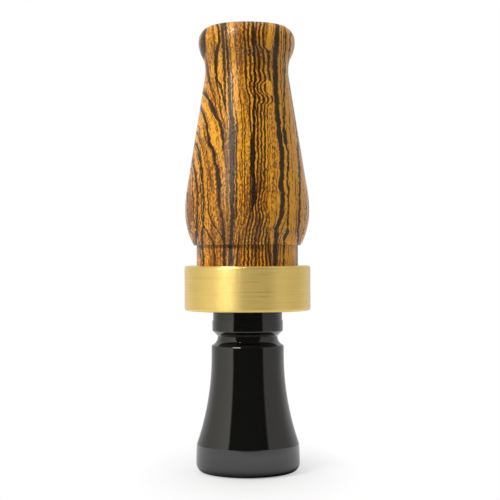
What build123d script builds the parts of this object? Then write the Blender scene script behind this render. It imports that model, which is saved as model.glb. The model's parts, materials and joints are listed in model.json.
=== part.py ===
from build123d import *
import os
from math import asin, atan2, cos, radians, sin, sqrt, tan

# A bird call that stands on the bell of its insert, mouthpiece up.
# All sizes are in millimetres and degrees. The origin is the centre of the foot, and +Z runs up the bore.

# Insert, from the foot up
rim_radius = 14.2
rim_height = 7.7
rim_lean = 0.18
rim_lean_length = 4.7
rim_edge_round = 0.6
foot_round = 2.5
flare_height = 24.1
bell_neck_radius = 9.9
bell_neck_length = 2.75
shoulder_round = 0.6
groove_radius = 8.2
groove_cove_height = 2.35
groove_floor_width = 0.2
collar_radius = 9.66
collar_length = 2.77
collar_edge_round = 0.25
tenon_length = 17.25
tenon_end_round = 0.4
turned_line_count = 3
turned_line_pitch = 0.65
turned_line_depth = 0.05

# Air way through the insert
bell_wall = 3.8
bell_mouth_round = 0.6
bell_mouth_depth = 24.0
exhaust_radius = 4.75
socket_radius = 6.5
socket_depth = 16.0

# Seals between insert and barrel
o_ring_section = 1.7
o_ring_count = 2
o_ring_end_margin = 5.5
o_ring_pitch = 5.5
o_ring_side_room = 0.25
o_ring_running_gap = 0.03

# Barrel, from its lower end up
barrel_standoff = 2.75
barrel_bore_radius = 9.525
tenon_running_gap = 0.06
counterbore_depth = 18.6
mouth_radius = 7.94
barrel_neck_radius = 13.87
barrel_neck_show = 5.55
ledge_step = 0.75
ledge_round = 0.4
bulge_rise = 9.4
bulge_curve = 33.0
body_length = 38.75
waist_radius = 11.36
waist_curve = 18.0
lip_radius = 13.16
lip_rise = 7.1
lip_hollow_curve = 7.4
lip_height = 4.6
lip_outer_round = 4.2
lip_inner_round = 0.9
lip_outer_share = 0.81
lip_inner_share = 0.18

# Band
band_wall = 3.32
band_overhang = 0.22
band_height = 12.2
band_edge_round = 0.7
band_glue_gap = 0.03

# Sounding parts, held in the insert's socket
board_socket_gap = 0.05
board_length = 65.5
board_face = 1.0
board_first_slope = 1.5
board_added_slope = 1.0
board_tip_round = 0.8
channel_radius = 2.9
channel_end_wall = 10.0
wedge_grip = 14.0
wedge_show = 3.5
wedge_edge_round = 0.6
reed_thickness = 0.25
reed_width = 11.8
reed_tail_inset = 2.0
reed_tip_setback = 1.5
reed_corner_round = 2.2
short_reed_setback = 3.5
reed_gap = 0.12
reed_seat_gap = 0.02
dimple_radius = 0.8
dimple_setback = 6.0
dimple_clearance = 0.02
swing_margin = 0.05

# Heights that follow from the sizes above
z_flare_top = rim_height + flare_height
z_shoulder = z_flare_top + bell_neck_length
z_groove = z_shoulder + groove_cove_height
z_collar_low = z_groove + groove_floor_width + (collar_radius - groove_radius)
z_collar_top = z_collar_low + collar_length
z_tenon_top = z_collar_top + tenon_length
z_socket = z_tenon_top - socket_depth
z_barrel = z_collar_top + barrel_standoff
z_band_top = z_barrel + band_height
z_ledge = z_band_top + barrel_neck_show
z_bulge = z_ledge + bulge_rise
z_waist = z_bulge + body_length
z_lip = z_waist + lip_rise
z_top = z_lip + lip_height
z_counterbore = z_barrel + counterbore_depth
z_board_tip = z_socket + board_length
z_wedge_low = z_tenon_top - wedge_grip
z_wedge_top = z_tenon_top + wedge_show
z_reed_tail = z_wedge_low + reed_tail_inset
z_long_tip = z_board_tip - reed_tip_setback
z_short_tip = z_long_tip - short_reed_setback

# Radii and depths that follow from a fit
rim_top_radius = rim_radius - rim_lean
bell_mouth_radius = rim_radius - bell_wall
tenon_radius = barrel_bore_radius - tenon_running_gap
o_ring_outer = barrel_bore_radius - o_ring_running_gap
o_ring_centre = o_ring_outer - o_ring_section / 2
o_ring_groove_radius = o_ring_outer - o_ring_section - o_ring_running_gap
z_last_o_ring = z_tenon_top - o_ring_end_margin
z_first_o_ring = z_last_o_ring - o_ring_pitch * (o_ring_count - 1)
o_ring_heights = [z_first_o_ring + o_ring_pitch * n for n in range(o_ring_count)]
band_bore_radius = barrel_neck_radius + band_glue_gap
band_radius = band_bore_radius + band_wall
bulge_radius = band_radius - band_overhang
ledge_radius = barrel_neck_radius + ledge_step
board_radius = socket_radius - board_socket_gap
y_board = -board_face
y_long_reed = y_board - reed_seat_gap
y_short_reed = y_long_reed - reed_thickness - reed_gap
y_wedge = y_short_reed - reed_thickness - reed_seat_gap
reed_swing = board_first_slope - swing_margin
wedge_relief = board_first_slope + swing_margin


class HalfSection:
    """The outline of a turned piece, traced as (radius, height), and the solid that it turns into."""

    def __init__(self, radius, height):
        self.first = (radius, height)
        self.at = self.first
        self.edges = []

    def line(self, radius, height):
        """A straight run to a new point."""
        self.edges.append(Line(self.at, (radius, height)))
        self.at = (radius, height)

    def lines(self, *points):
        """Straight runs through several points."""
        for radius, height in points:
            self.line(radius, height)

    def arc_ending_upright(self, radius, height):
        """An arc that is parallel to the axis where it ends."""
        end = (radius, height)
        self.edges.append(TangentArc(self.at, end, tangent=(0, -1), tangent_from_first=False))
        self.at = end

    def arc_starting_upright(self, radius, height):
        """An arc that is parallel to the axis where it starts."""
        end = (radius, height)
        way = 1 if height > self.at[1] else -1
        self.edges.append(TangentArc(self.at, end, tangent=(0, way)))
        self.at = end

    def ogee(self, radius, height, low_curve, high_curve=None):
        """Two opposite arcs, parallel to the axis at both ends, with a straight taper between them.

        Without a high curve, that radius is the one that leaves no straight taper.
        """
        low = self.at
        out = 1 if radius > low[0] else -1
        width = abs(radius - low[0])
        rise = height - low[1]
        if high_curve is None:
            high_curve = (rise**2 + width**2) / (2 * width) - low_curve
            slope = asin(rise / (low_curve + high_curve))
        else:
            both = low_curve + high_curve
            taper = sqrt(rise**2 + (both - width) ** 2 - both**2)
            slope = atan2(both, taper) - atan2(both - width, rise)
        start = (low[0] + out * low_curve * (1 - cos(slope)), low[1] + low_curve * sin(slope))
        stop = (radius - out * high_curve * (1 - cos(slope)), height - high_curve * sin(slope))
        self.edges.append(TangentArc(low, start, tangent=(0, 1)))
        self.at = start
        if (Vector(*stop) - Vector(*start)).length > 1e-6:
            self.line(*stop)
        self.arc_ending_upright(radius, height)

    def turned(self, rounded_corners):
        """The solid of revolution, with each listed corner of the outline rounded first."""
        if self.at != self.first:
            self.line(*self.first)
        section = make_face(self.edges)
        for corner, round_radius in rounded_corners:
            vertex = section.vertices().sort_by_distance((*corner, 0))[0]
            section = fillet(vertex, round_radius)
        return revolve(Plane.XZ * section, Axis.Z)


def make_insert():
    """The exhaust end: bell, cord groove, collar and the tenon with its seal grooves."""
    outline = HalfSection(bell_mouth_radius, 0)
    outline.lines((rim_radius, 0), (rim_radius, rim_height - rim_lean_length))
    outline.arc_starting_upright(rim_top_radius, rim_height)
    outline.arc_ending_upright(bell_neck_radius, z_flare_top)
    outline.line(bell_neck_radius, z_shoulder)
    outline.arc_ending_upright(groove_radius, z_groove)
    outline.lines(
        (groove_radius, z_groove + groove_floor_width),
        (collar_radius, z_collar_low),
        (collar_radius, z_collar_top),
        (tenon_radius, z_collar_top),
    )
    for n in range(turned_line_count):
        z_line = z_collar_top + turned_line_pitch * (n + 1)
        outline.lines(
            (tenon_radius, z_line - turned_line_depth),
            (tenon_radius - turned_line_depth, z_line),
            (tenon_radius, z_line + turned_line_depth),
        )
    half_width = o_ring_section / 2 + o_ring_side_room
    for z_ring in o_ring_heights:
        outline.lines(
            (tenon_radius, z_ring - half_width),
            (o_ring_groove_radius, z_ring - half_width),
            (o_ring_groove_radius, z_ring + half_width),
            (tenon_radius, z_ring + half_width),
        )
    outline.lines(
        (tenon_radius, z_tenon_top),
        (socket_radius, z_tenon_top),
        (socket_radius, z_socket),
        (exhaust_radius, z_socket),
        (exhaust_radius, bell_mouth_depth),
    )
    outline.arc_starting_upright(bell_mouth_radius, 0)
    return outline.turned(
        [
            ((rim_radius, 0), foot_round),
            ((rim_top_radius, rim_height), rim_edge_round),
            ((bell_mouth_radius, 0), bell_mouth_round),
            ((bell_neck_radius, z_shoulder), shoulder_round),
            ((collar_radius, z_collar_low), collar_edge_round),
            ((tenon_radius, z_tenon_top), tenon_end_round),
        ]
    )


def make_barrel():
    """The wooden mouth end: counterbored neck, bulged body, waist and rolled lip."""
    lip_wall = lip_radius - mouth_radius
    step_rise = barrel_bore_radius - mouth_radius
    outline = HalfSection(barrel_bore_radius, z_barrel)
    outline.lines((barrel_neck_radius, z_barrel), (barrel_neck_radius, z_ledge), (ledge_radius, z_ledge))
    outline.arc_ending_upright(bulge_radius, z_bulge)
    outline.ogee(waist_radius, z_waist, bulge_curve, waist_curve)
    outline.ogee(lip_radius, z_lip, lip_hollow_curve)
    outline.lines(
        (lip_radius, z_top),
        (mouth_radius, z_top),
        (mouth_radius, z_counterbore + step_rise),
        (barrel_bore_radius, z_counterbore),
    )
    return outline.turned(
        [
            ((ledge_radius, z_ledge), ledge_round),
            ((lip_radius, z_top), min(lip_outer_round, lip_outer_share * lip_wall)),
            ((mouth_radius, z_top), min(lip_inner_round, lip_inner_share * lip_wall)),
        ]
    )


def make_band():
    """The brass ring glued round the barrel's neck."""
    outline = HalfSection(band_bore_radius, z_barrel)
    outline.lines((band_radius, z_barrel), (band_radius, z_band_top), (band_bore_radius, z_band_top))
    outer_corners = [(band_radius, z_barrel), (band_radius, z_band_top)]
    return outline.turned([(corner, band_edge_round) for corner in outer_corners])


def make_o_ring(z_ring):
    """One rubber seal, squeezed between its groove and the barrel's bore."""
    return Pos(0, 0, z_ring) * Torus(o_ring_centre, o_ring_section / 2)


def side_profile(edges):
    """A prism across the call, from an outline in (y, z)."""
    reach = 2 * board_radius
    return extrude(Plane.YZ * make_face(edges), reach, both=True)


def upright_bar(radius, z_low, z_high):
    """A round bar on the axis of the call."""
    ends_at_low = (Align.CENTER, Align.CENTER, Align.MIN)
    return Pos(0, 0, z_low) * Cylinder(radius, z_high - z_low, align=ends_at_low)


def make_tone_board():
    """The half-round bar that the reeds beat on, with its tone channel."""
    behind = 2 * board_radius
    face_curve = (z_board_tip - z_wedge_top) / radians(board_added_slope)
    first_slope = radians(board_first_slope)
    face = JernArc(
        (y_board, z_wedge_top), (sin(first_slope), cos(first_slope)), face_curve, -board_added_slope
    )
    tip = face @ 1
    rest = Polyline(
        (tip.X, tip.Y), (behind, tip.Y), (behind, z_socket), (y_board, z_socket), (y_board, z_wedge_top)
    )
    bar = upright_bar(board_radius, z_socket, tip.Y)
    bar = fillet(bar.edges().filter_by(GeomType.CIRCLE).sort_by(Axis.Z)[-1], board_tip_round)
    board = bar & side_profile([face, *rest.edges()])
    z_channel_end = z_board_tip - channel_end_wall - channel_radius
    channel = upright_bar(channel_radius, z_socket, z_channel_end)
    return board - channel - Pos(0, 0, z_channel_end) * Sphere(channel_radius)


def make_wedge_block():
    """The half-round cork that holds the reeds' tails down on the tone board.

    Its underside is relieved towards the tails, which lift into that room as the free ends close.
    """
    relief = (z_wedge_top - z_wedge_low) * tan(radians(wedge_relief))
    front = -2 * board_radius
    outline = Polyline(
        (y_wedge, z_wedge_top),
        (front, z_wedge_top),
        (front, z_wedge_low),
        (y_wedge - relief, z_wedge_low),
        (y_wedge, z_wedge_top),
    )
    bar = upright_bar(board_radius, z_wedge_low, z_wedge_top)
    bar = fillet(bar.edges().filter_by(GeomType.CIRCLE), wedge_edge_round)
    return bar & side_profile(outline.edges())


def make_reed(y_face, z_tip):
    """A flat strip of film with rounded tip corners, lying in front of the tone board."""
    length = z_tip - z_reed_tail
    strip = Rectangle(reed_width, length, align=(Align.CENTER, Align.MIN))
    tip_corners = strip.vertices().group_by(Axis.Y)[-1]
    strip = fillet(tip_corners, reed_corner_round)
    plane = Plane(origin=(0, y_face, z_reed_tail), x_dir=(1, 0, 0), z_dir=(0, -1, 0))
    return extrude(plane * strip, reed_thickness)


def make_long_reed():
    """The lower reed, next to the tone board."""
    return make_reed(y_long_reed, z_long_tip)


def make_short_reed():
    """The upper reed, with the pressed dimple that keeps the two films apart."""
    height = reed_gap - dimple_clearance
    ball_radius = (dimple_radius**2 + height**2) / (2 * height)
    y_ball = y_short_reed + height - ball_radius
    z_dimple = z_short_tip - dimple_setback
    ball = Pos(0, y_ball, z_dimple) * Sphere(ball_radius)
    room_below = Pos(0, y_short_reed, z_dimple) * Box(
        4 * dimple_radius, reed_gap, 4 * dimple_radius, align=(Align.CENTER, Align.MIN, Align.CENTER)
    )
    bump = ball & room_below
    dent = Pos(0, -reed_thickness, 0) * bump
    return make_reed(y_short_reed, z_short_tip) + bump - dent


def main():
    """Writes one STEP file for each piece."""
    pieces = {
        "barrel": make_barrel(),
        "band": make_band(),
        "insert": make_insert(),
        "tone_board": make_tone_board(),
        "wedge_block": make_wedge_block(),
        "long_reed": make_long_reed(),
        "short_reed": make_short_reed(),
    }
    for n, z_ring in enumerate(o_ring_heights, 1):
        pieces[f"o_ring_{n}"] = make_o_ring(z_ring)
    os.makedirs("parts", exist_ok=True)
    for name, piece in pieces.items():
        export_step(piece, f"parts/{name}.step")
    print(f"height {z_top:.2f}, barrel from {z_barrel:.2f}, reed pivot at {z_wedge_top:.2f}")
    print(f"reed swing {reed_swing:.2f} degrees, tone board tip at {z_board_tip:.2f}")


main()
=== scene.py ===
"""Dresses a turned duck call: finishes for its pieces, film reeds, a cork wedge and a white studio."""

import json
import math
from functools import cached_property

import bpy
from bpy.props import FloatProperty, FloatVectorProperty, PointerProperty
from bpy.types import NodeSocket, Operator, Panel, PropertyGroup
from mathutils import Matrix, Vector, noise

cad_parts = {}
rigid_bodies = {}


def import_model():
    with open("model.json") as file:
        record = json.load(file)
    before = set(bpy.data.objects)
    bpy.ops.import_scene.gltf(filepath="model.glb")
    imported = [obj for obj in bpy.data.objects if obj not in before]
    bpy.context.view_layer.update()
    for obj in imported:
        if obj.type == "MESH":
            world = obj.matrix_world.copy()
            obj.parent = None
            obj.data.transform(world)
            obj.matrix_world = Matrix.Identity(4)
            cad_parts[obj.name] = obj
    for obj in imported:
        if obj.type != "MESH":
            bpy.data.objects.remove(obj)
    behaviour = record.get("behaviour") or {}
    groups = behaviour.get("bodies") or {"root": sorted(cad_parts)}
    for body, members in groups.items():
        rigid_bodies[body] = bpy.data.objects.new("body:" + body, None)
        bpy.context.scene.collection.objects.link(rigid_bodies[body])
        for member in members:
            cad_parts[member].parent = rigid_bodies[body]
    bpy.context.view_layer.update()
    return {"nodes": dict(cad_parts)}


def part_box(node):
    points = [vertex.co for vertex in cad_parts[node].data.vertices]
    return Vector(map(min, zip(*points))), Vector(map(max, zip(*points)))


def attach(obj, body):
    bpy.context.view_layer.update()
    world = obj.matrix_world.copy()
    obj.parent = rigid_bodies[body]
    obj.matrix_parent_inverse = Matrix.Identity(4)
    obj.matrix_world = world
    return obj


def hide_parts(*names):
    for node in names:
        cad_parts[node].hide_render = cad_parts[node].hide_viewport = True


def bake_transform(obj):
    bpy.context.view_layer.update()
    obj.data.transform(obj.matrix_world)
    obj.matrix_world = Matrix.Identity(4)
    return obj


bl_info = {
    "name": "Duck Call",
    "version": (1, 0, 0),
    "blender": (4, 5, 0),
    "location": "View3D > Sidebar > Duck Call",
    "description": "Finishes a turned duck call and sets it in a small white studio",
    "category": "Object",
}

for leftover in list(bpy.data.objects):
    bpy.data.objects.remove(leftover)
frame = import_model()
MM = 0.001
WHITE = (1.0, 1.0, 1.0, 1.0)
BLACK = (0.0, 0.0, 0.0, 1.0)

# Figure of the wood: dark layers that run up the front of the barrel, named by where they lie.
# Each point is (share of the barrel's height, millimetres right of the axis, half width in millimetres).
LIP_LAYER = [
    (0.0, -13.0, 0.0), (0.84, -11.9, 0.0), (0.89, -11.7, 0.5), (0.93, -11.8, 0.9), (0.97, -11.5, 0.6),
    (1.0, -11.0, 0.3),
]
TOP_SLANT = [
    (0.0, -5.6, 0.0), (0.66, -5.3, 0.0), (0.70, -5.6, 0.2), (0.726, -6.1, 0.3), (0.763, -6.6, 0.34),
    (0.79, -7.2, 0.34), (0.818, -8.0, 0.4), (0.865, -8.1, 0.68), (0.933, -7.3, 0.45), (1.0, -7.9, 0.35),
]
HIGH_SLANT = [
    (0.0, -5.5, 0.0), (0.45, -5.5, 0.0), (0.50, -5.7, 0.12), (0.55, -6.2, 0.2), (0.62, -6.6, 0.55),
    (0.65, -7.4, 0.5), (0.67, -8.2, 0.5), (0.70, -9.0, 0.7), (0.73, -9.9, 0.45), (0.75, -10.9, 0.35),
    (0.80, -13.0, 0.35), (1.0, -17.0, 0.3),
]
MIDDLE_SLANT = [
    (0.0, -6.2, 0.4), (0.21, -6.1, 0.42), (0.25, -6.2, 0.35), (0.31, -6.5, 0.32), (0.34, -6.9, 0.32),
    (0.37, -7.3, 0.4), (0.43, -7.3, 0.55), (0.49, -7.8, 0.5), (0.52, -8.5, 0.5), (0.55, -8.9, 0.7),
    (0.58, -9.9, 0.6), (0.61, -10.3, 0.42), (0.65, -10.9, 0.4), (0.69, -11.8, 0.35), (0.75, -13.5, 0.3),
    (1.0, -20.0, 0.3),
]
LOW_SLANT = [
    (0.0, -11.5, 0.3), (0.25, -12.0, 0.3), (0.29, -11.8, 0.3), (0.36, -11.6, 0.25), (0.44, -11.8, 0.28),
    (0.49, -12.1, 0.4), (0.52, -12.6, 0.4), (0.56, -13.1, 0.35), (0.60, -14.2, 0.3), (1.0, -24.0, 0.3),
]
EDGE_SLANT = [
    (0.0, -14.0, 0.2), (0.31, -13.5, 0.26), (0.35, -13.2, 0.22), (0.40, -13.2, 0.26),
    (0.44, -13.6, 0.3), (0.49, -14.2, 0.3), (0.60, -16.5, 0.3), (1.0, -26.0, 0.3),
]
LEFT_LAYER = [
    (0.0, -4.6, 0.62), (0.20, -4.5, 0.62), (0.28, -4.1, 0.6), (0.34, -3.9, 0.65), (0.40, -3.9, 0.75),
    (0.46, -4.0, 0.86), (0.56, -4.1, 0.98), (0.63, -4.0, 0.82), (0.69, -4.3, 0.58), (0.81, -4.8, 0.48),
    (0.93, -5.3, 0.38), (1.0, -5.8, 0.35),
]
MIDDLE_LAYER = [
    (0.0, 0.0, 0.0), (0.32, 0.6, 0.0), (0.345, 0.9, 0.3), (0.365, 1.5, 0.7), (0.39, 1.75, 0.95),
    (0.43, 1.8, 0.75), (0.48, 1.6, 0.62), (0.54, 1.5, 0.85), (0.60, 1.7, 0.45), (0.70, 2.1, 0.3),
    (0.80, 2.2, 0.26), (0.93, 1.8, 0.34), (1.0, 1.7, 0.2),
]
RIGHT_LAYER = [
    (0.0, 7.4, 0.7), (0.20, 7.4, 0.72), (0.265, 7.5, 0.68), (0.30, 8.2, 0.6), (0.325, 8.8, 0.6),
    (0.36, 9.25, 0.7), (0.40, 9.35, 0.65), (0.43, 8.95, 0.85), (0.48, 9.2, 0.75), (0.54, 9.15, 0.75),
    (0.59, 8.7, 0.75), (0.65, 8.3, 0.8), (0.75, 7.9, 0.75), (0.85, 7.7, 0.85), (0.93, 7.9, 0.8),
    (1.0, 8.4, 0.65),
]
FORKED_LAYER = [
    (0.0, 9.6, 0.3), (0.24, 9.9, 0.3), (0.27, 10.5, 0.7), (0.29, 10.7, 0.3), (0.40, 11.0, 0.24),
    (0.47, 10.7, 0.28), (0.53, 10.9, 0.24), (0.57, 10.3, 0.3), (0.61, 10.2, 0.75), (0.64, 9.9, 0.25),
    (0.75, 10.0, 0.22), (0.87, 10.4, 0.3), (1.0, 10.3, 0.25),
]
OUTER_LAYER = [
    (0.0, 13.4, 0.25), (0.28, 13.7, 0.4), (0.40, 14.1, 0.36), (0.55, 13.8, 0.3), (0.62, 13.5, 0.3),
    (0.72, 12.6, 0.2), (0.85, 11.6, 0.2), (1.0, 12.2, 0.2),
]
DARK_LAYERS = (
    LIP_LAYER, TOP_SLANT, HIGH_SLANT, MIDDLE_SLANT, LOW_SLANT, EDGE_SLANT,
    LEFT_LAYER, MIDDLE_LAYER, RIGHT_LAYER, FORKED_LAYER, OUTER_LAYER,
)

# Sides of the fan of fine lines between the left and the right layer
FAN_LEFT = [
    (0.0, -4.2), (0.16, -3.9), (0.21, -3.4), (0.28, -1.6), (0.35, 0.6), (0.45, 0.9), (0.56, 1.1),
    (0.66, 0.8), (0.76, -0.6), (0.84, -1.6), (1.0, -2.0),
]
FAN_RIGHT = [
    (0.0, 6.7), (0.16, 6.6), (0.21, 6.2), (0.28, 5.3), (0.32, 5.1), (0.37, 4.1), (0.42, 4.9),
    (0.56, 5.2), (0.66, 5.3), (0.71, 5.7), (0.731, 7.0), (0.746, 5.9), (0.768, 5.1), (0.785, 5.7),
    (0.802, 6.9), (0.83, 6.5), (0.86, 6.6), (0.885, 6.7), (0.905, 5.6), (0.935, 5.1), (0.97, 5.2),
    (1.0, 5.6),
]

# Lines that the fan gains or loses for each layer: each point is (share of the height, lines).
FAN_EXTRA = [(0.0, 0.8), (0.20, 0.8), (0.36, -0.4), (0.60, -0.4), (0.80, 0.0), (1.0, 0.1)]

# Numbers of the fan's left and right side, where growth layers are counted
FAN_FIRST = 5.0
FAN_LAST = 10.0

# Growth layers are counted between these lines, from the left: each has the number that stands beside it.
COUNTED_LINES = (
    (-9.0, LOW_SLANT), (-6.0, MIDDLE_SLANT), (-3.0, HIGH_SLANT), (0.0, LEFT_LAYER), (FAN_FIRST, FAN_LEFT),
    (FAN_LAST, FAN_RIGHT), (14.0, RIGHT_LAYER), (17.0, FORKED_LAYER), (20.0, OUTER_LAYER),
)

# How dense the dark lines are, from one layer to the next: each point is (layer's number, density).
DENSITY = [
    (-12.0, 0.35), (-9.0, 0.3), (-8.0, 0.22), (-6.5, 0.15), (-3.0, 0.12), (-1.4, 0.05), (-0.6, 0.3),
    (0.7, 0.3), (1.2, 0.9), (1.7, 0.3), (2.4, 0.4), (3.0, 0.2), (3.35, 0.8), (3.7, 0.2), (4.6, 0.3),
    (5.2, 0.85), (9.2, 0.85), (9.7, 1.3), (10.2, 0.2), (12.2, 0.1), (12.6, 0.6), (13.0, 0.1),
    (13.6, 0.3), (14.6, 0.5), (16.2, 0.35), (17.4, 0.06), (19.4, 0.06), (20.6, 0.12), (24.0, 0.3),
]

# Changes of the ground's tone: each is (layer where it starts, layer where it ends, change towards amber).
# The last step lightens the right of the wood: partly its paler tone there, partly painted light
TONE_STEPS = ((0.5, 3.0, 0.3), (4.2, 5.2, -0.22), (9.6, 10.6, -0.26), (13.0, 16.0, -0.6))

# Eyes in the figure: each is (share of the height, millimetres right of the axis, half width, half height).
EYES = ((0.933, 6.0, 1.0, 3.6), (0.768, 6.05, 1.0, 2.5))


def srgb(red, green, blue):
    """A colour given in screen values from 0 to 255, as Blender's linear values."""
    shares = [value / 255 for value in (red, green, blue)]
    return tuple(s / 12.92 if s <= 0.04045 else ((s + 0.055) / 1.055) ** 2.4 for s in shares)


def colour_property(name, description, default):
    """A colour that a user can change."""
    return FloatVectorProperty(
        name=name, description=description, subtype="COLOR", size=3, min=0, max=1, default=default
    )


def share_property(name, description, default):
    """A number from 0 to 1 that a user can change."""
    return FloatProperty(
        name=name, description=description, subtype="FACTOR", min=0, max=1, default=default
    )


def length_property(name, description, default):
    """A length in metres that a user can change."""
    return FloatProperty(name=name, description=description, unit="LENGTH", default=default)


class WoodSettings(PropertyGroup):
    """Colours and gloss of the barrel's wood."""

    gold: colour_property("Gold", "Bright ground of the wood", srgb(242, 168, 40))
    amber: colour_property("Amber", "Darker ground of the wood", srgb(134, 72, 8))
    line: colour_property("Lines", "Thin red-brown growth lines", srgb(46, 11, 0))
    black: colour_property("Black layers", "Broad black layers", srgb(26, 6, 0))
    roughness: share_property("Roughness", "Roughness of the oiled and buffed surface", 0.30)
    brush: share_property("Brushing", "How far the sanding marks draw reflections out", 1.0)
    sheen: colour_property("Sheen", "Warm tint of the oil's reflections", (1.0, 0.95, 0.8))


class BrassSettings(PropertyGroup):
    """Colour and turning lines of the band."""

    colour: colour_property("Brass", "Colour of the bare metal", srgb(254, 220, 129))
    # Dark colour of the scratches, also painted as shade on the underside
    tarnish_and_under_shade: colour_property("Tarnish", "Colour of the underside and of the scratches", srgb(96, 75, 37))
    roughness: share_property("Roughness", "Roughness of the turned surface", 0.30)
    brush: share_property("Brushing", "How far the turning lines draw reflections out", 1.0)


class AcrylicSettings(PropertyGroup):
    """Colour and polish of the insert."""

    colour: colour_property("Acrylic", "Colour of the cast acrylic", (0.002, 0.002, 0.0015))
    roughness: share_property("Roughness", "Roughness of the polish", 0.04)


class SoundingSettings(PropertyGroup):
    """Colours of the parts inside the barrel."""

    board: colour_property("Tone board", "Colour of the machined plastic", srgb(38, 38, 40))
    film: colour_property("Reeds", "Colour of the film", srgb(236, 233, 222))
    cork: colour_property("Cork", "Light grains of the cork", srgb(206, 160, 108))
    cork_dark: colour_property("Cork, dark", "Dark grains of the cork", srgb(128, 82, 46))
    rubber: colour_property("Seals", "Colour of the rubber", srgb(24, 24, 25))


class StudioSettings(PropertyGroup):
    """Camera, lamp and surround."""

    camera_height: length_property("Camera height", "Height of the level camera", 0.06056)
    camera_distance: length_property("Camera distance", "From the camera to the call's axis", 0.3877)
    camera_side: length_property("Camera to the right", "Camera's offset from the axis", 0.00072)
    camera_roll: FloatProperty(
        name="Camera roll",
        description="Turn about the line of sight",
        unit="ROTATION",
        default=math.radians(0.19),
    )
    lens: FloatProperty(
        name="Lens", description="Focal length on a 36 mm sensor", unit="CAMERA", default=101.95
    )
    key_power: FloatProperty(
        name="Key lamp", description="Power of the soft lamp at the front left", unit="POWER", default=3.0
    )
    left_wall: colour_property("Left wall", "Light of the wall on the left", (0.90, 0.875, 0.795))
    right_wall: colour_property("Right wall", "Light of the wall on the right", (0.50, 0.48, 0.465))
    back_wall: colour_property("Back wall", "Light of the backdrop", (0.68, 0.68, 0.68))
    ceiling: colour_property("Ceiling", "Light from overhead", (1.0, 1.0, 1.0))
    front_room: colour_property("Front", "Light of the dark room in front", (0.045, 0.045, 0.043))
    floor: colour_property("Floor", "White floor", (0.66, 0.66, 0.66))


class DuckCallSettings(PropertyGroup):
    """All settings of the call and of its studio."""

    wood: PointerProperty(type=WoodSettings)
    brass: PointerProperty(type=BrassSettings)
    acrylic: PointerProperty(type=AcrylicSettings)
    sounding: PointerProperty(type=SoundingSettings)
    studio: PointerProperty(type=StudioSettings)


class NodeBench:
    """Short calls for building a node tree, where any input can be a number or another node's output."""

    def __init__(self, tree):
        self.tree = tree

    def feed(self, socket, value):
        """Links a socket to an output, or sets it to a value."""
        if isinstance(value, NodeSocket):
            self.tree.links.new(value, socket)
        else:
            socket.default_value = value

    def node(self, kind, inputs=None, **settings):
        """Adds a node, with its settings and its inputs by name or number."""
        made = self.tree.nodes.new("ShaderNode" + kind)
        for key, value in settings.items():
            setattr(made, key, value)
        for key, value in (inputs or {}).items():
            self.feed(made.inputs[key], value)
        return made

    def math(self, operation, *values):
        """One arithmetic step."""
        return self.node("Math", dict(enumerate(values)), operation=operation).outputs[0]

    def add(self, *values):
        """The sum of several values."""
        total = values[0]
        for value in values[1:]:
            total = self.math("ADD", total, value)
        return total

    def minus(self, first, second):
        """The difference of two values."""
        return self.math("SUBTRACT", first, second)

    def times(self, *values):
        """The product of several values."""
        total = values[0]
        for value in values[1:]:
            total = self.math("MULTIPLY", total, value)
        return total

    def weighed(self, *pairs):
        """The sum of several values, each with its weight."""
        return self.add(*[self.times(value, weight) for value, weight in pairs])

    def limit(self, value, low, high):
        """A value kept between two others."""
        return self.math("MINIMUM", self.math("MAXIMUM", value, low), high)

    def hypot(self, x, y):
        """The distance that two sides make."""
        return self.math("SQRT", self.add(self.times(x, x), self.times(y, y)))

    def step(self, value, low, high, to_low=0.0, to_high=1.0):
        """A smooth change from to_low to to_high as the value goes from low to high."""
        inputs = {"Value": value, "From Min": low, "From Max": high, "To Min": to_low, "To Max": to_high}
        return self.node("MapRange", inputs, interpolation_type="SMOOTHSTEP").outputs[0]

    def scale(self, value, low, high, to_low=0.0, to_high=1.0):
        """A straight, clamped change from to_low to to_high as the value goes from low to high."""
        inputs = {"Value": value, "From Min": low, "From Max": high, "To Min": to_low, "To Max": to_high}
        return self.node("MapRange", inputs).outputs[0]

    def vector(self, x, y, z):
        """Three values as one vector."""
        return self.node("CombineXYZ", {0: x, 1: y, 2: z}).outputs[0]

    def parts(self, vector):
        """A vector's three values."""
        return self.node("SeparateXYZ", {0: vector}).outputs

    def noise(self, vector, detail=2.0, roughness=0.5):
        """Noise about 0.5, whose grain is one unit of the vector."""
        inputs = {"Vector": vector, "Scale": 1.0, "Detail": detail, "Roughness": roughness}
        return self.node("TexNoise", inputs).outputs["Fac"]

    def stretched(self, vector, factors):
        """A vector with each axis multiplied by its own factor."""
        return self.node("VectorMath", {0: vector, 1: factors}, operation="MULTIPLY").outputs[0]

    def curve(self, share, points):
        """A smooth curve through given points over a share from 0 to 1."""
        low = min(value for _, value in points)
        high = max(value for _, value in points)
        made = self.node("FloatCurve", {"Value": share})
        drawn = made.mapping.curves[0].points
        while len(drawn) < len(points):
            drawn.new(0.5, 0.5)
        for point, (place, value) in zip(drawn, points):
            point.location = (place, (value - low) / (high - low))
            point.handle_type = "AUTO_CLAMPED"
        made.mapping.update()
        return self.add(self.times(made.outputs[0], high - low), low)

    def blend(self, share, first, second):
        """A mix of two colours."""
        made = self.node("Mix", data_type="RGBA")
        self.feed(made.inputs["Factor"], share)
        self.feed(made.inputs["A"], first)
        self.feed(made.inputs["B"], second)
        return made.outputs["Result"]


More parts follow.
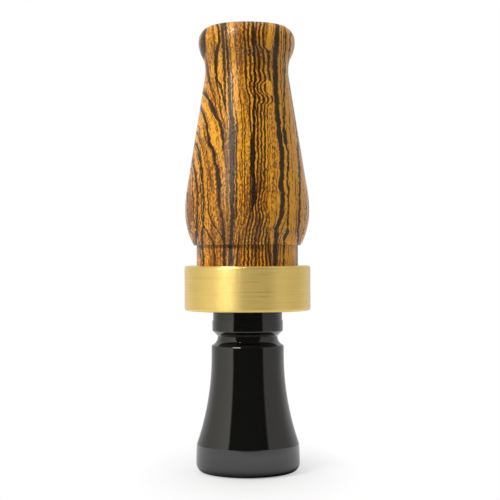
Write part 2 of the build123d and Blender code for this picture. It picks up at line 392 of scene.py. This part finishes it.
class Finish(NodeBench):
    """A material under construction, on Blender's standard surface shader."""

    def __init__(self, name, **constants):
        self.material = bpy.data.materials.new(name)
        self.material.use_nodes = True
        super().__init__(self.material.node_tree)
        self.surface = self.tree.nodes["Principled BSDF"]
        for key, value in constants.items():
            socket = key.replace("_", " ").title().replace("Ior", "IOR")
            self.surface.inputs[socket].default_value = value

    @cached_property
    def point(self):
        """The point on the piece, in millimetres from the foot's centre."""
        place = self.node("TexCoord").outputs["Object"]
        return self.stretched(place, (1 / MM, 1 / MM, 1 / MM))

    def grain(self, grains, detail=2.0, roughness=0.5):
        """Noise about 0.5, with its grains per millimetre along each axis."""
        return self.noise(self.stretched(self.point, grains), detail, roughness)

    def upward(self):
        """How far the surface faces up: 1 on top and -1 underneath."""
        return self.parts(self.node("NewGeometry").outputs["Normal"])[2]

    def put(self, socket, value):
        """Feeds one socket of the surface."""
        self.feed(self.surface.inputs[socket], value)

    def rough(self, least, reach, share):
        """Roughness that rises from its least by a reach, with a share from 0 to 1."""
        self.put("Roughness", self.add(least, self.times(share, reach)))

    def brush_round(self):
        """Runs the brushing marks round the call's axis."""
        self.put("Tangent", self.node("Tangent", direction_type="RADIAL", axis="Z").outputs[0])

    def bump(self, height, depth):
        """Relief from a height between 0 and 1, with its depth in metres."""
        inputs = {"Height": height, "Distance": depth, "Strength": 1.0}
        self.put("Normal", self.node("Bump", inputs).outputs[0])


def colour(value, share=1.0, lift=0.0):
    """A stored colour for a colour socket, which can be scaled by a share and lifted."""
    return (*[channel * share + lift for channel in value], 1.0)


class WoodFigure(Finish):
    """Layers, lines and pores of the barrel's wood."""

    # Wavers of the layers: grains per millimetre across and along the wood, and millimetres to either side
    slow_waver = (0.16, 0.09, 0.35)
    quick_waver = (0.3, 0.42, 0.4)
    ragged_waver = (1.1, 1.3, 0.24)
    eye_waver = (0.7, 0.5, 0.3)

    # Grains of the noises: across the layers or to the right, in depth and up
    streak_grains = (0.8, 0.06, 0.03)
    fade_grains = (7.3, 0.06, 0.06)
    thin_grains = (2.3, 0.1, 0.04)
    swell_grains = (0.1, 0.05, 0.12)
    fleck_grains = (3.0, 3.0, 1.1)
    fray_grains = (3.4, 3.4, 0.7)
    pore_grains = (3.3, 2.9, 0.57)

    # Smooth changes: where each starts and ends, and the value before and after it
    lean = (-6.0, 17.0, 0.0, 3.2)
    eye_edge = (0.7, 0.95, 0.0, 1.0)
    streak_tone = (0.40, 0.66, 0.0, 0.9)
    height_tone = (0.35, 0.65, 0.14, -0.18)
    # Painted shade on the lower left of the ground and painted light on its upper left: the layers that it
    # covers, then its share by height
    left_painted_shade = (-1.5, 0.0, 0.22, 0.0)
    painted_shade_by_height = (0.5, 0.7, 1.0, -0.7)
    ring_shown = (-0.1, 0.12, 0.0, 1.0)
    pore_edge = (0.56, 0.62, 0.0, 1.0)
    # Faces that look down: end grain, and painted shade underneath
    end_grain_and_under_shade = (-0.95, -0.8, 0.85, 0.0)
    fleck_matte = (0.36, 0.64, -0.1, 0.14)

    # Tone of the ground, from golden at 0 to amber at 1
    plain_tone = -1.86
    fleck_tone = 3.8

    # Growth rings: how many a layer has, how they fade along the grain, and their lines' half widths
    rings_per_layer = 1.3
    fade_strength = 1.1
    fade_offset = -0.45
    ring_half = 0.14
    ring_half_dense = 0.15
    ring_half_chance = 0.1
    ring_core = 0.5
    ring_edge = 1.15

    # Finer lines: the noise that they start at, and how soft their edges are
    thin_start = 0.57
    thin_start_dense = 0.09
    thin_edge = 0.06

    # Black layers: how they swell and fray, and where their edges start and end
    least_swell = 0.6
    swell_reach = 0.8
    fray_reach = 0.7
    layer_core = 0.6
    layer_edge = 1.15
    least_edge = 0.01

    # How strongly each kind of mark covers what lies under it
    ring_strength = 0.95
    thin_strength = 0.88
    black_strength = 0.97
    pore_strength = 0.8

    # Roughness that pores add, and relief in metres
    pore_matte = 0.14
    fleck_relief = 0.6
    relief = 0.008 * MM

    def __init__(self, wood):
        super().__init__(
            "striped_wood", specular_ior_level=0.50, anisotropic=wood.brush, anisotropic_rotation=0.25
        )
        self.put("Specular Tint", colour(wood.sheen))
        self.wood = wood
        right, self.deep, self.up = self.parts(self.point)
        low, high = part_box("barrel")
        self.foot = low.z / MM
        self.length = (high.z - low.z) / MM
        self.rise = self.scale(self.up, self.foot, self.foot + self.length)

        # Layers waver a little everywhere, and lie further over at the back
        wavers = [self.waver(*waver) for waver in (self.slow_waver, self.quick_waver)]
        self.across = self.add(right, *wavers, self.step(self.deep, *self.lean))
        self.ragged = self.add(self.across, self.waver(*self.ragged_waver))
        self.layer = self.counted()
        self.plain = self.outside_eyes()
        self.density = self.times(self.line_density(), self.plain)
        self.fleck = self.grain(self.fleck_grains, detail=2.0, roughness=0.6)

    def waver(self, across_grain, along_grain, reach):
        """A sideways shift of the layers, in millimetres either way."""
        drift = self.grain((across_grain, across_grain, along_grain))
        return self.times(self.minus(drift, 0.5), 2 * reach)

    def drawn_out(self, value, grains):
        """A vector for noise that runs along the layers, with a value that changes across them."""
        across, deep, up = grains
        return self.vector(self.times(value, across), self.times(self.deep, deep), self.times(self.up, up))

    def counted(self):
        """The number of the growth layer at a point, between the lines that are counted."""
        numbers = [number for number, _ in COUNTED_LINES]
        lines = [self.curve(self.rise, [point[:2] for point in points]) for _, points in COUNTED_LINES]
        total = self.add(numbers[0], self.math("MINIMUM", self.minus(self.ragged, lines[0]), 0.0))
        for n in range(len(lines) - 1):
            gain = numbers[n + 1] - numbers[n]
            total = self.add(total, self.scale(self.ragged, lines[n], lines[n + 1], 0.0, gain))
        return self.add(total, self.math("MAXIMUM", self.minus(self.ragged, lines[-1]), 0.0))

    def line_density(self):
        """How dense the dark lines are at a point's layer."""
        first = DENSITY[0][0]
        last = DENSITY[-1][0]
        points = [((number - first) / (last - first), density) for number, density in DENSITY]
        return self.curve(self.scale(self.layer, first, last), points)

    def outside_eyes(self):
        """0 inside the eyes of the figure, which are plain, and 1 elsewhere and at the back."""
        plain = 1.0
        for share, side, half_width, half_height in EYES:
            away = self.math("DIVIDE", self.minus(self.ragged, side), half_width)
            along = self.math("DIVIDE", self.minus(self.up, self.foot + share * self.length), half_height)
            behind = self.math("MAXIMUM", self.deep, 0.0)
            distance = self.math("SQRT", self.add(self.times(away, away), self.times(along, along), behind))
            distance = self.add(distance, self.waver(*self.eye_waver))
            plain = self.math("MINIMUM", plain, self.step(distance, *self.eye_edge))
        return plain

    def ground(self):
        """The wood between its lines, golden or amber, with painted shade and light on its left and partly
        painted light on its right.
        """
        streak = self.noise(self.drawn_out(self.layer, self.streak_grains), detail=3.0, roughness=0.6)
        tone = self.add(self.times(self.fleck, self.fleck_tone), self.plain_tone)
        tone = self.add(tone, self.step(streak, *self.streak_tone))
        for first, last, change in TONE_STEPS:
            tone = self.add(tone, self.step(self.layer, first, last, 0.0, change))
        # Painted shade darkens the ground on the lower left, and painted light lightens it on the upper
        # left
        painted_shade_and_light = self.times(self.step(self.layer, *self.left_painted_shade), self.step(self.rise, *self.painted_shade_by_height))
        tone = self.add(tone, self.step(self.rise, *self.height_tone), painted_shade_and_light)
        tone = self.times(self.plain, self.limit(tone, 0.0, 1.0))
        return self.blend(tone, colour(self.wood.gold), colour(self.wood.amber))

    def growth_lines(self):
        """Growth rings: each has a dark line of its own width, which comes and goes along the grain."""
        middle = (FAN_FIRST + FAN_LAST) / 2
        fan = self.limit(self.minus(self.layer, middle), FAN_FIRST - middle, FAN_LAST - middle)
        extra = self.times(fan, self.curve(self.rise, FAN_EXTRA))
        count = self.add(self.times(self.layer, self.rings_per_layer), extra)
        ring = self.math("FLOOR", count)
        off_middle = self.math("ABSOLUTE", self.minus(self.minus(count, ring), 0.5))
        chance = self.node("TexWhiteNoise", {"W": ring}, noise_dimensions="1D").outputs["Value"]
        fade = self.noise(self.drawn_out(ring, self.fade_grains))
        likely = self.add(self.density, self.times(fade, self.fade_strength), self.fade_offset)
        shown = self.times(self.plain, self.step(self.minus(likely, chance), *self.ring_shown))
        spread = self.times(chance, self.ring_half_chance)
        half = self.add(self.ring_half, self.times(self.density, self.ring_half_dense), spread)
        core = self.times(half, self.ring_core)
        edge = self.times(half, self.ring_edge)
        return self.times(shown, self.step(off_middle, core, edge, 1.0, 0.0))

    def thin_lines(self):
        """Finer lines between the growth rings."""
        thin = self.noise(self.drawn_out(self.layer, self.thin_grains), detail=2.0, roughness=0.7)
        start = self.add(self.thin_start, self.times(self.density, self.thin_start_dense))
        return self.times(self.plain, self.step(thin, start, self.add(start, self.thin_edge)))

    def black_layers(self):
        """Black layers, which swell and thin out along their length and fray at their edges."""
        swell = self.noise(self.drawn_out(self.across, self.swell_grains))
        swell = self.add(self.least_swell, self.times(swell, self.swell_reach))
        fray = self.grain(self.fray_grains, detail=2.0, roughness=0.6)
        fray = self.times(self.minus(fray, 0.5), self.fray_reach)
        black = 0.0
        for points in DARK_LAYERS:
            centre = self.curve(self.rise, [(share, place) for share, place, _ in points])
            half = self.times(swell, self.curve(self.rise, [(share, half) for share, _, half in points]))
            away = self.add(self.math("ABSOLUTE", self.minus(self.ragged, centre)), fray)
            core = self.times(half, self.layer_core)
            edge = self.add(self.times(half, self.layer_edge), self.least_edge)
            black = self.math("MAXIMUM", black, self.step(away, core, edge, 1.0, 0.0))
        return black

    def pores(self):
        """Pores, as short dark strokes along the grain."""
        return self.step(self.grain(self.pore_grains, detail=3.0, roughness=0.75), *self.pore_edge)


def striped_wood(wood):
    """Golden wood with black layers and gathered dark lines, sanded on the lathe, oiled and buffed."""
    f = WoodFigure(wood)
    line = colour(wood.line)
    pore = f.pores()
    surface = f.blend(f.times(f.growth_lines(), f.ring_strength), f.ground(), line)
    surface = f.blend(f.times(f.thin_lines(), f.thin_strength), surface, line)
    surface = f.blend(f.times(f.black_layers(), f.black_strength), surface, colour(wood.black))
    surface = f.blend(f.times(pore, f.pore_strength), surface, line)

    # Faces that look down darken to the lines' colour: partly end grain soaking up more oil, partly painted
    # shade underneath
    surface = f.blend(f.step(f.upward(), *f.end_grain_and_under_shade), surface, line)
    f.put("Base Color", surface)
    matte = f.add(f.step(f.fleck, *f.fleck_matte), f.times(pore, f.pore_matte))
    f.put("Roughness", f.add(wood.roughness, matte))
    f.brush_round()
    f.bump(f.minus(f.times(f.fleck, f.fleck_relief), pore), f.relief)
    return f.material


def turned_brass(brass):
    """Brass with fine lines round it, left by the lathe tool and a fine abrasive."""
    line_depth = 0.036 * MM
    dull_share = 0.92
    gloss_reach = 0.1
    bright_edge = (0.35, 0.6)
    f = Finish("turned_brass", metallic=0.85, anisotropic=brass.brush, anisotropic_rotation=0.25)
    fine = f.grain((0.012, 0.012, 9.0), detail=3.0, roughness=0.7)
    broad = f.grain((0.02, 0.02, 2.2), detail=2.0, roughness=0.6)
    patch = f.grain((0.15, 0.15, 0.2))
    share = f.weighed((fine, 0.6), (broad, 0.3), (patch, 0.1))
    dull = colour(brass.colour, share=dull_share)
    surface = f.blend(f.step(share, *bright_edge), dull, colour(brass.colour))

    # Scratches, most of them where the front was rubbed: places are millimetres right of the axis
    scratch_edge = (0.54, 0.72)
    rubbed_left = (-4.0, -1.0)
    rubbed_right = (5.0, 9.0)
    least_worn = 0.1
    rubbed_worn = 0.3
    scratch = f.step(f.grain((0.06, 0.06, 2.6), detail=2.0, roughness=0.6), *scratch_edge)
    right = f.parts(f.point)[0]
    rubbed = f.times(f.step(right, *rubbed_left), f.step(right, *rubbed_right, 1.0, 0.0))
    worn = f.times(scratch, f.add(least_worn, f.times(rubbed, rubbed_worn)))
    surface = f.blend(worn, surface, colour(brass.tarnish_and_under_shade))

    # Painted shade on the underside, in the scratches' dark colour
    under_edge = (-0.95, -0.8)
    under = f.step(f.upward(), *under_edge, 1.0, 0.0)
    f.put("Base Color", f.blend(under, surface, colour(brass.tarnish_and_under_shade)))
    f.rough(brass.roughness - gloss_reach / 2, gloss_reach, share)
    f.brush_round()
    f.bump(fine, line_depth)
    return f.material


def polished_acrylic(acrylic):
    """Black cast acrylic, buffed to a mirror with a trace of wheel marks."""
    mark_depth = 0.0006 * MM
    smear_lift = 0.002
    gloss_reach = 0.04
    f = Finish("polished_acrylic", specular_ior_level=1.0, ior=1.49)
    smear = f.grain((0.18, 0.18, 0.07), detail=3.0, roughness=0.6)
    mark = f.grain((0.05, 0.05, 7.0))
    f.put("Base Color", f.blend(smear, colour(acrylic.colour), colour(acrylic.colour, lift=smear_lift)))
    f.rough(acrylic.roughness - gloss_reach / 2, gloss_reach, smear)
    f.bump(mark, mark_depth)
    return f.material


def machined_plastic(sounding):
    """Black plastic with the fine cross lines of a mill on the tone board."""
    line_depth = 0.006 * MM
    wear = 0.5
    f = Finish("machined_plastic", specular_ior_level=0.5)
    line = f.grain((0.2, 0.2, 5.0))
    smear = f.grain((0.3, 0.3, 0.1))
    worn = colour(sounding.board, share=2.0, lift=0.006)
    f.put("Base Color", f.blend(f.times(smear, wear), colour(sounding.board), worn))
    f.rough(least=0.22, reach=0.16, share=line)
    f.bump(line, line_depth)
    return f.material


def reed_film(sounding):
    """Milky film with faint lengthwise rubbing marks."""
    rub_depth = 0.004 * MM
    f = Finish("reed_film", specular_ior_level=0.5, transmission_weight=0.15)
    rub = f.grain((4.0, 4.0, 0.15), detail=3.0, roughness=0.6)
    f.put("Base Color", f.blend(rub, colour(sounding.film, share=0.86), colour(sounding.film)))
    f.rough(least=0.28, reach=0.2, share=rub)
    f.bump(rub, rub_depth)
    return f.material


def natural_cork(sounding):
    """Cork, as pressed grains with dark pits between them."""
    pit_depth = 0.08 * MM
    pit_strength = 0.6
    pit_share = 0.5
    speck_relief = 0.4
    pit_width = 0.09
    cells_per_mm = 0.9
    f = Finish("natural_cork", specular_ior_level=0.25)
    grain = f.node("TexVoronoi", {"Vector": f.point, "Scale": cells_per_mm}).outputs["Color"]
    edge = f.node("TexVoronoi", {"Vector": f.point, "Scale": cells_per_mm}, feature="DISTANCE_TO_EDGE")
    pit = f.step(edge.outputs["Distance"], 0.0, pit_width, 1.0, 0.0)
    speck = f.grain((3.0, 3.0, 3.0), detail=3.0, roughness=0.6)
    share = f.weighed((f.parts(grain)[0], 0.6), (speck, 0.4))
    body = f.blend(f.step(share, 0.25, 0.7), colour(sounding.cork_dark), colour(sounding.cork))
    hollow = colour(sounding.cork_dark, share=pit_share)
    f.put("Base Color", f.blend(f.times(pit, pit_strength), body, hollow))
    f.rough(least=0.75, reach=0.2, share=speck)
    f.bump(f.minus(f.times(speck, speck_relief), pit), pit_depth)
    return f.material


def seal_rubber(sounding):
    """Black rubber with a dusty bloom."""
    bloom_depth = 0.01 * MM
    f = Finish("seal_rubber", specular_ior_level=0.4)
    bloom = f.grain((0.9, 0.9, 0.9), detail=3.0, roughness=0.6)
    dusty = colour(sounding.rubber, share=2.2, lift=0.004)
    f.put("Base Color", f.blend(f.step(bloom, 0.45, 0.75), colour(sounding.rubber), dusty))
    f.rough(least=0.42, reach=0.2, share=bloom)
    f.bump(bloom, bloom_depth)
    return f.material


def dress(node, material):
    """Gives a piece of the frame its finish."""
    mesh = frame["nodes"][node].data
    mesh.materials.clear()
    mesh.materials.append(material)


def new_piece(name, points, faces, material):
    """A smooth-shaded mesh in the scene."""
    mesh = bpy.data.meshes.new(name)
    mesh.from_pydata(points, [], faces)
    mesh.validate()
    mesh.shade_smooth()
    mesh.materials.append(material)
    piece = bpy.data.objects.new(name, mesh)
    bpy.context.scene.collection.objects.link(piece)
    return piece


def grid_faces(rows, columns, closed=False):
    """Quads between the points of a grid that is stored row by row, with open or closed rows."""
    faces = []
    for row in range(rows - 1):
        for column in range(columns if closed else columns - 1):
            first = row * columns + column
            after = row * columns + (column + 1) % columns
            faces.append((first, after, after + columns, first + columns))
    return faces


def apply_modifiers(piece):
    """Replaces a piece's mesh by its shape with all modifiers."""
    depsgraph = bpy.context.evaluated_depsgraph_get()
    final = bpy.data.meshes.new_from_object(piece.evaluated_get(depsgraph))
    piece.modifiers.clear()
    piece.data = final


class StudioOperator:
    """What the operators share: the settings of the scene that they work on."""

    bl_options = {"REGISTER", "UNDO"}

    @staticmethod
    def settings(context):
        """The call's settings."""
        return context.scene.duck_call


class DUCK_CALL_OT_barrel(StudioOperator, Operator):
    """Give the barrel its striped wood"""

    bl_idname = "duck_call.barrel"
    bl_label = "Wooden barrel"

    def execute(self, context):
        dress("barrel", striped_wood(self.settings(context).wood))
        return {"FINISHED"}


class DUCK_CALL_OT_band(StudioOperator, Operator):
    """Give the band its turned brass"""

    bl_idname = "duck_call.band"
    bl_label = "Brass band"

    def execute(self, context):
        dress("band", turned_brass(self.settings(context).brass))
        return {"FINISHED"}


class DUCK_CALL_OT_insert(StudioOperator, Operator):
    """Give the insert its polished black acrylic"""

    bl_idname = "duck_call.insert"
    bl_label = "Acrylic insert"

    def execute(self, context):
        dress("insert", polished_acrylic(self.settings(context).acrylic))
        return {"FINISHED"}


class DUCK_CALL_OT_seals(StudioOperator, Operator):
    """Give the two seals their rubber"""

    bl_idname = "duck_call.seals"
    bl_label = "Rubber seals"

    def execute(self, context):
        rubber = seal_rubber(self.settings(context).sounding)
        for node in ("o_ring_1", "o_ring_2"):
            dress(node, rubber)
        return {"FINISHED"}


class DUCK_CALL_OT_tone_board(StudioOperator, Operator):
    """Give the tone board its machined plastic"""

    bl_idname = "duck_call.tone_board"
    bl_label = "Tone board"

    def execute(self, context):
        dress("tone_board", machined_plastic(self.settings(context).sounding))
        return {"FINISHED"}


class DUCK_CALL_OT_reeds(StudioOperator, Operator):
    """Make the two film reeds in their rest shape; on the call they bend from the front edge of the cork to
    their tips
    """

    bl_idname = "duck_call.reeds"
    bl_label = "Film reeds"
    thickness = 0.25 * MM
    corner = 2.2 * MM
    edge_bevel = 0.05 * MM
    bevel_segments = 2

    # Dimple that keeps the reeds apart, which the short reed has
    dimple_radius = 0.8 * MM
    dimple_height = 0.1 * MM
    dimple_setback = 6.0 * MM

    # Rows up the strip, which lie closer together at the tip and out to fine_radii of the dimple's radii
    row_step = 1.2 * MM
    fine_step = 0.2 * MM
    fine_radii = 1.3
    corner_steps = 8

    # Columns across the strip, as shares of its half width
    side_columns = (0.4, 0.6, 0.8, 0.96, 1.0)
    middle_share = 0.2
    plain_steps = 2
    dimple_steps = 7

    def rows(self, low, high, z_dimple):
        """Heights and half widths of the strip's rows, closer together at the dimple and the tip."""
        half = high.x
        z_corner = high.z - self.corner
        count = round((z_corner - low.z) / self.row_step)
        heights = [low.z + (z_corner - low.z) * n / count for n in range(count)]
        if z_dimple:
            near = round(self.fine_radii * self.dimple_radius / self.fine_step)
            heights += [z_dimple + n * self.fine_step for n in range(-near, near + 1)]
        rows = [(height, half) for height in sorted(heights)]
        for n in range(self.corner_steps + 1):
            turn = math.radians(90 * n / self.corner_steps)
            reach = self.corner * (1 - math.cos(turn))
            rows.append((z_corner + self.corner * math.sin(turn), half - reach))
        return rows

    def columns(self, z_dimple):
        """Places across the strip, as shares of its half width."""
        near = self.dimple_steps if z_dimple else self.plain_steps
        middle = [self.middle_share * n / near for n in range(-near, near + 1)]
        return [-share for share in reversed(self.side_columns)] + middle + list(self.side_columns)

    def strip(self, node, material, z_dimple=None):
        """One reed in its rest shape."""
        low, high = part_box(node)
        y_middle = low.y + self.thickness / 2
        rows = self.rows(low, high, z_dimple)
        columns = self.columns(z_dimple)
        points = []
        for height, half in rows:
            for share in columns:
                across = share * half
                y = y_middle
                if z_dimple:
                    away = math.hypot(across, height - z_dimple) / self.dimple_radius
                    y += self.dimple_height * max(0.0, 1 - away**2)
                points.append((across, y, height))
        piece = new_piece(node + "_film", points, grid_faces(len(rows), len(columns)), material)
        film = piece.modifiers.new("film", "SOLIDIFY")
        film.thickness = self.thickness
        film.offset = 0.0
        bevel = piece.modifiers.new("edge", "BEVEL")
        bevel.width = self.edge_bevel
        bevel.segments = self.bevel_segments
        apply_modifiers(piece)
        return piece

    def execute(self, context):
        film = reed_film(self.settings(context).sounding)
        for node in ("long_reed", "short_reed"):
            low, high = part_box(node)
            z_dimple = high.z - self.dimple_setback if node == "short_reed" else None
            piece = self.strip(node, film, z_dimple)
            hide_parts(node)
            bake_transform(piece)
        return {"FINISHED"}


class DUCK_CALL_OT_cork(StudioOperator, Operator):
    """Make the half-round cork that holds the reeds"""

    bl_idname = "duck_call.cork"
    bl_label = "Cork wedge"
    rows = 44
    arc_steps = 44
    flat_steps = 14
    cap_rings = 10
    edge_round = 0.6 * MM
    relief = 0.45 * MM
    tolerance = 0.000001 * MM

    # Pits between the grains: their depth, the size of a grain and the noise's fading, spacing and octaves
    pit_depth = 0.11 * MM
    grain_size = 0.9 * MM
    pit_noise = (0.7, 2.0, 3)

    def rings(self, low, high):
        """Rings of points from end to end: each has its height and its share of the full section."""
        caps = [(n + 1) / (self.cap_rings + 1) for n in range(self.cap_rings)]
        rings = [(low.z, share) for share in caps]
        rings += [(low.z + (high.z - low.z) * n / (self.rows - 1), 1.0) for n in range(self.rows)]
        return rings + [(high.z, 1 - share) for share in caps]

    def section(self, radius, y_flat):
        """Points round a half disc, along the arc and back along the flat."""
        half = math.sqrt(radius**2 - y_flat**2)
        start = math.atan2(y_flat, -half) + 2 * math.pi
        sweep = math.atan2(y_flat, half) + 2 * math.pi - start
        arc = [start + sweep * n / self.arc_steps for n in range(self.arc_steps + 1)]
        points = [(radius * math.cos(a), radius * math.sin(a)) for a in arc]
        for n in range(1, self.flat_steps):
            points.append((half - 2 * half * n / self.flat_steps, y_flat))
        return points

    def pitted(self, point, inward):
        """A point moved into the cork by the grains' pits."""
        grain = noise.fractal(point / self.grain_size, *self.pit_noise)
        return point + inward * self.pit_depth * min(1.0, abs(grain))

    def points(self, low, high):
        """The cork's points, ring by ring, pitted everywhere but on the flat."""
        centre_y = (low.y + high.y) / 2
        middle_z = (low.z + high.z) / 2
        points = []
        for height, share in self.rings(low, high):
            end = min(height - low.z, high.z - height)
            cut = max(0.0, self.edge_round - end)
            inset = self.edge_round - math.sqrt(max(0.0, self.edge_round**2 - cut**2))
            y_flat = high.y - self.relief * (high.z - height) / (high.z - low.z)
            for x, y in self.section(-low.y - inset, y_flat):
                point = Vector((x * share, centre_y + (y - centre_y) * share, height))
                on_flat = y > y_flat - self.tolerance
                inward = Vector((-x, -y, 0)).normalized()
                if share < 1:
                    inward = Vector((0, 0, -1 if height > middle_z else 1))
                points.append(point if on_flat else self.pitted(point, inward))
        return points

    def execute(self, context):
        points = self.points(*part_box("wedge_block"))
        around = self.arc_steps + self.flat_steps
        faces = grid_faces(len(points) // around, around, closed=True)
        faces.append(tuple(reversed(range(around))))
        faces.append(tuple(range(len(points) - around, len(points))))
        piece = new_piece("cork_wedge", points, faces, natural_cork(self.settings(context).sounding))
        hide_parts("wedge_block")
        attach(piece, "wedge")
        return {"FINISHED"}


class DUCK_CALL_OT_stage(StudioOperator, Operator):
    """Set up the white floor, the surround, the lamp and the camera"""

    bl_idname = "duck_call.stage"
    bl_label = "White studio"

    # Floor, in metres: its outline, and where its shadow, its painted contact shadow in reflections and its
    # mirror image fade away from the axis
    floor_reach = 4.0
    floor_side = 0.3
    floor_front = 0.36
    shadow_start = 0.004
    shadow_end = 0.031
    contact_shadow_start = 0.0115
    mirror_start = 0.0165
    mirror_end = 0.08
    dim_start = 0.06
    dim_end = 0.24

    # How much depth counts in the shadow, the mirrored floor's light far out, and steps of the front
    shadow_depth = 0.45
    dim_level = 0.3
    floor_arc_steps = 24

    # Edges of the walls, in degrees from the front, and of the ceiling, in degrees up
    left_edge = (-50, -44)
    right_edge = (46, 54)
    back_edge = (100, 140)
    ceiling_edge = (42, 58)

    # Light of the side walls: the degrees over which it falls, and the share that is left
    fall_span = (50, 125)
    left_fall = 0.45
    right_fall = 0.85

    # Lamp and camera: directions in degrees, lengths in metres, and the sensor in millimetres
    aim_height = 0.062
    key_lamp = {"azimuth": -43.5, "elevation": 47, "distance": 0.62, "width": 0.23, "height": 0.13}
    sensor_width = 36.0
    clip_start = 0.01

    def floor(self, studio):
        """A white floor that keeps the call's shadow, and turns to pure white away from it."""
        f = Finish("white_floor", roughness=0.9, specular_ior_level=0.0)
        x, y, _ = f.parts(f.node("TexCoord").outputs["Object"])
        away = f.hypot(x, y)
        path = f.node("LightPath").outputs
        mirrored = f.math("MAXIMUM", path["Is Glossy Ray"], path["Is Transmission Ray"])
        # Near the axis the floor shows only its lit grey, a painted soft shadow in an ellipse stretched
        # front to back, together with the real shadow
        soft = f.hypot(x, f.times(y, self.shadow_depth))
        plain = f.math("SQRT", f.scale(soft, self.shadow_start, self.shadow_end))
        mirror = f.math("SQRT", f.scale(away, self.mirror_start, self.mirror_end))
        mirror = f.times(mirror, f.step(away, self.dim_start, self.dim_end, 1.0, self.dim_level))
        white_share = f.add(f.times(path["Is Camera Ray"], plain), f.times(mirrored, mirror))
        # Painted contact shadow: in reflections the floor right round the foot turns black
        painted_contact_shadow = f.times(mirrored, f.step(away, self.contact_shadow_start, self.mirror_start, 1.0, 0.0))
        dark = f.math("MAXIMUM", white_share, painted_contact_shadow)
        f.put("Base Color", f.blend(dark, colour(studio.floor), BLACK))
        f.put("Emission Color", WHITE)
        f.put("Emission Strength", white_share)
        widest = math.asin(self.floor_side / self.floor_front)
        outline = [(self.floor_side, self.floor_reach, 0), (-self.floor_side, self.floor_reach, 0)]
        for n in range(self.floor_arc_steps + 1):
            turn = widest * (2 * n / self.floor_arc_steps - 1)
            outline.append((self.floor_front * math.sin(turn), -self.floor_front * math.cos(turn), 0))
        new_piece("studio_floor", outline, [tuple(range(len(outline)))], f.material)

    def past(self, bench, angle, edge, before=0.0, after=1.0):
        """A smooth change as an angle passes an edge, which is given in degrees."""
        return bench.step(angle, *map(math.radians, edge), before, after)

    def surround(self, studio):
        """White walls at the sides and back, and a dark room behind the camera."""
        world = bpy.data.worlds.new("studio")
        world.use_nodes = True
        bpy.context.scene.world = world
        b = NodeBench(world.node_tree)
        x, y, z = b.parts(b.node("TexCoord").outputs["Generated"])
        turn = b.math("ARCTAN2", x, b.times(y, -1.0))
        aside = b.math("ABSOLUTE", turn)
        climb = b.math("ARCSINE", z)
        light = colour(studio.front_room)
        sides = (
            (self.past(b, turn, self.left_edge, 1.0, 0.0), studio.left_wall, self.left_fall),
            (self.past(b, turn, self.right_edge), studio.right_wall, self.right_fall),
        )
        for share, wall, end in sides:
            fall = b.scale(aside, *map(math.radians, self.fall_span), 1.0, end)
            light = b.blend(share, light, b.stretched(tuple(wall), b.vector(fall, fall, fall)))
        walls = (
            (self.past(b, aside, self.back_edge), studio.back_wall),
            (self.past(b, climb, self.ceiling_edge), studio.ceiling),
        )
        for share, wall in walls:
            light = b.blend(share, light, colour(wall))
        camera_ray = b.node("LightPath").outputs["Is Camera Ray"]
        light = b.blend(camera_ray, light, WHITE)
        b.feed(world.node_tree.nodes["Background"].inputs["Color"], light)

    def lamp(self, name, power, azimuth, elevation, distance, width, height):
        """A soft lamp that faces the call, with its direction in degrees."""
        data = bpy.data.lights.new(name, "AREA")
        data.shape = "RECTANGLE"
        data.size = width
        data.size_y = height
        data.energy = power
        lamp = bpy.data.objects.new(name, data)
        bpy.context.scene.collection.objects.link(lamp)
        turn = math.radians(azimuth)
        climb = math.radians(elevation)
        level = math.cos(climb)
        toward = Vector((level * math.sin(turn), -level * math.cos(turn), math.sin(climb)))
        lamp.location = Vector((0, 0, self.aim_height)) + toward * distance
        lamp.rotation_euler = toward.to_track_quat("Z", "Y").to_euler()

    def camera(self, studio):
        """A level camera in front of the call."""
        data = bpy.data.cameras.new("camera")
        data.lens = studio.lens
        data.sensor_width = self.sensor_width
        data.clip_start = self.clip_start
        camera = bpy.data.objects.new("camera", data)
        bpy.context.scene.collection.objects.link(camera)
        camera.location = (studio.camera_side, -studio.camera_distance, studio.camera_height)
        camera.rotation_euler = (math.radians(90), studio.camera_roll, 0)
        bpy.context.scene.camera = camera

    def execute(self, context):
        studio = self.settings(context).studio
        self.floor(studio)
        self.surround(studio)
        self.lamp("key_lamp", studio.key_power, **self.key_lamp)
        self.camera(studio)
        context.scene.view_settings.view_transform = "Standard"
        return {"FINISHED"}


class DUCK_CALL_PT_panel(Panel):
    """Lists the steps that dress the call"""

    bl_idname = "DUCK_CALL_PT_panel"
    bl_label = "Duck Call"
    bl_space_type = "VIEW_3D"
    bl_region_type = "UI"
    bl_category = "Duck Call"

    def draw(self, context):
        for step in STEPS:
            self.layout.operator(step.bl_idname)


STEPS = (
    DUCK_CALL_OT_barrel,
    DUCK_CALL_OT_band,
    DUCK_CALL_OT_insert,
    DUCK_CALL_OT_seals,
    DUCK_CALL_OT_tone_board,
    DUCK_CALL_OT_reeds,
    DUCK_CALL_OT_cork,
    DUCK_CALL_OT_stage,
)
GROUPS = (WoodSettings, BrassSettings, AcrylicSettings, SoundingSettings, StudioSettings, DuckCallSettings)


def register():
    """Adds the settings, the steps and the panel."""
    for group in GROUPS:
        bpy.utils.register_class(group)
    bpy.types.Scene.duck_call = PointerProperty(type=DuckCallSettings)
    for step in (*STEPS, DUCK_CALL_PT_panel):
        bpy.utils.register_class(step)


def unregister():
    """Takes them away again."""
    for step in reversed((*STEPS, DUCK_CALL_PT_panel)):
        bpy.utils.unregister_class(step)
    del bpy.types.Scene.duck_call
    for group in reversed(GROUPS):
        bpy.utils.unregister_class(group)


def main():
    """Runs every step."""
    register()
    for step in STEPS:
        family, name = step.bl_idname.split(".")
        getattr(getattr(bpy.ops, family), name)()


if __name__ == "__main__":
    main()
